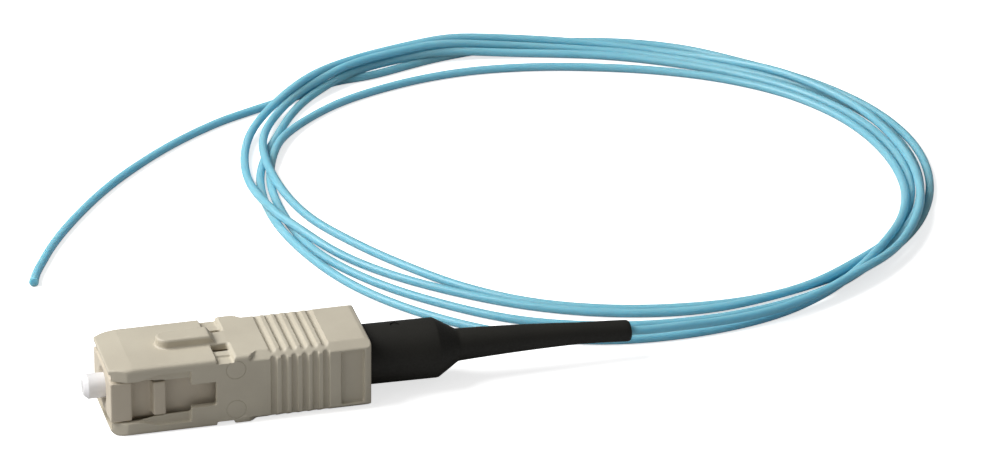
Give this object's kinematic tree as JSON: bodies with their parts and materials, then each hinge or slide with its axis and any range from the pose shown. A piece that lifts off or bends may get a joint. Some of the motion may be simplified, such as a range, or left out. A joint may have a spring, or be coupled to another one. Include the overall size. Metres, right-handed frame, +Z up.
{
  "type": "fibre optic pigtail",
  "caption": "Push-pull square fibre plug with ceramic ferrule and black boot, on a loosely coiled length of thin aqua buffered fibre with a bare end.",
  "frame": {"origin": "on the floor, under the middle of the plug with its boot (the fibre left out)", "axes": "+X along the plug, from its ferrule to its boot; +Y across the plug, towards the coil; +Z up, out of the face with the key"},
  "size_m": [0.0989, 0.0784, 0.0083],
  "materials": {
    "beige_plastic": "moulded, satin",
    "frame_plastic": "moulded, satin",
    "white_ceramic": "polished zirconia",
    "nickel": "nickel plated",
    "spring_steel": "drawn wire",
    "black_rubber": "satin",
    "aqua_buffer": "smooth, extruded"
  },
  "bodies": {
    "plug": {"plug_frame": "frame_plastic", "stop_ring": "nickel", "boot": "black_rubber", "spring": "spring_steel", "fibre_lead": "aqua_buffer", "fibre_coil": "aqua_buffer", "fibre_tail": "aqua_buffer"},
    "grip": {"grip": "beige_plastic"},
    "ferrule": {"ferrule": "white_ceramic", "ferrule_flange": "nickel"}
  },
  "joints": [
    {"name": "grip_slide", "type": "slide", "parent": "plug", "child": "grip", "axis": [1, 0, 0], "range_m": [0, 0.002]},
    {"name": "ferrule_slide", "type": "slide", "parent": "plug", "child": "ferrule", "axis": [1, 0, 0], "range_m": [0, 0.0015], "stiffness_N_per_m": 800, "deforming": ["spring"]}
  ]
}
